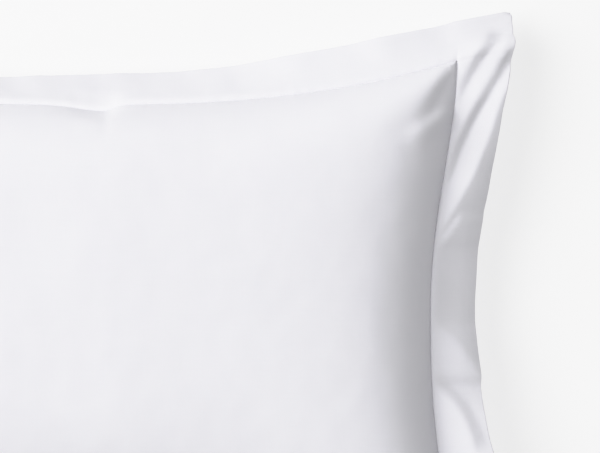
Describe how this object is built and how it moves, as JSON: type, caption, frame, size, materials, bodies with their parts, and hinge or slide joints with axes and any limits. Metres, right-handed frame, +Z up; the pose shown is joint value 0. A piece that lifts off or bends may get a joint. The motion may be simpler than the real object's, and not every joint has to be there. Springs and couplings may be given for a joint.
{
  "type": "flanged pillowcase, filled",
  "caption": "White cotton pillowcase with a flat flange on every side, plump with its filling and lying on its back; the opening at the back is closed by a tuck flap.",
  "frame": {"origin": "on the surface that the case lies on, under the middle of its plan", "axes": "+X along the long side, towards the open end with the tuck flap; +Y along the short side, towards the top edge; +Z up, out of the front of the case"},
  "size_m": [0.8329, 0.5874, 0.142],
  "materials": {
    "front_panel_cotton": "matt white percale",
    "back_panel_cotton": "matt white percale",
    "tuck_flap_cotton": "matt white percale"
  },
  "bodies": {
    "root": {"front_panel": "front_panel_cotton", "back_panel": "back_panel_cotton", "tuck_flap": "tuck_flap_cotton"}
  },
  "joints": []
}
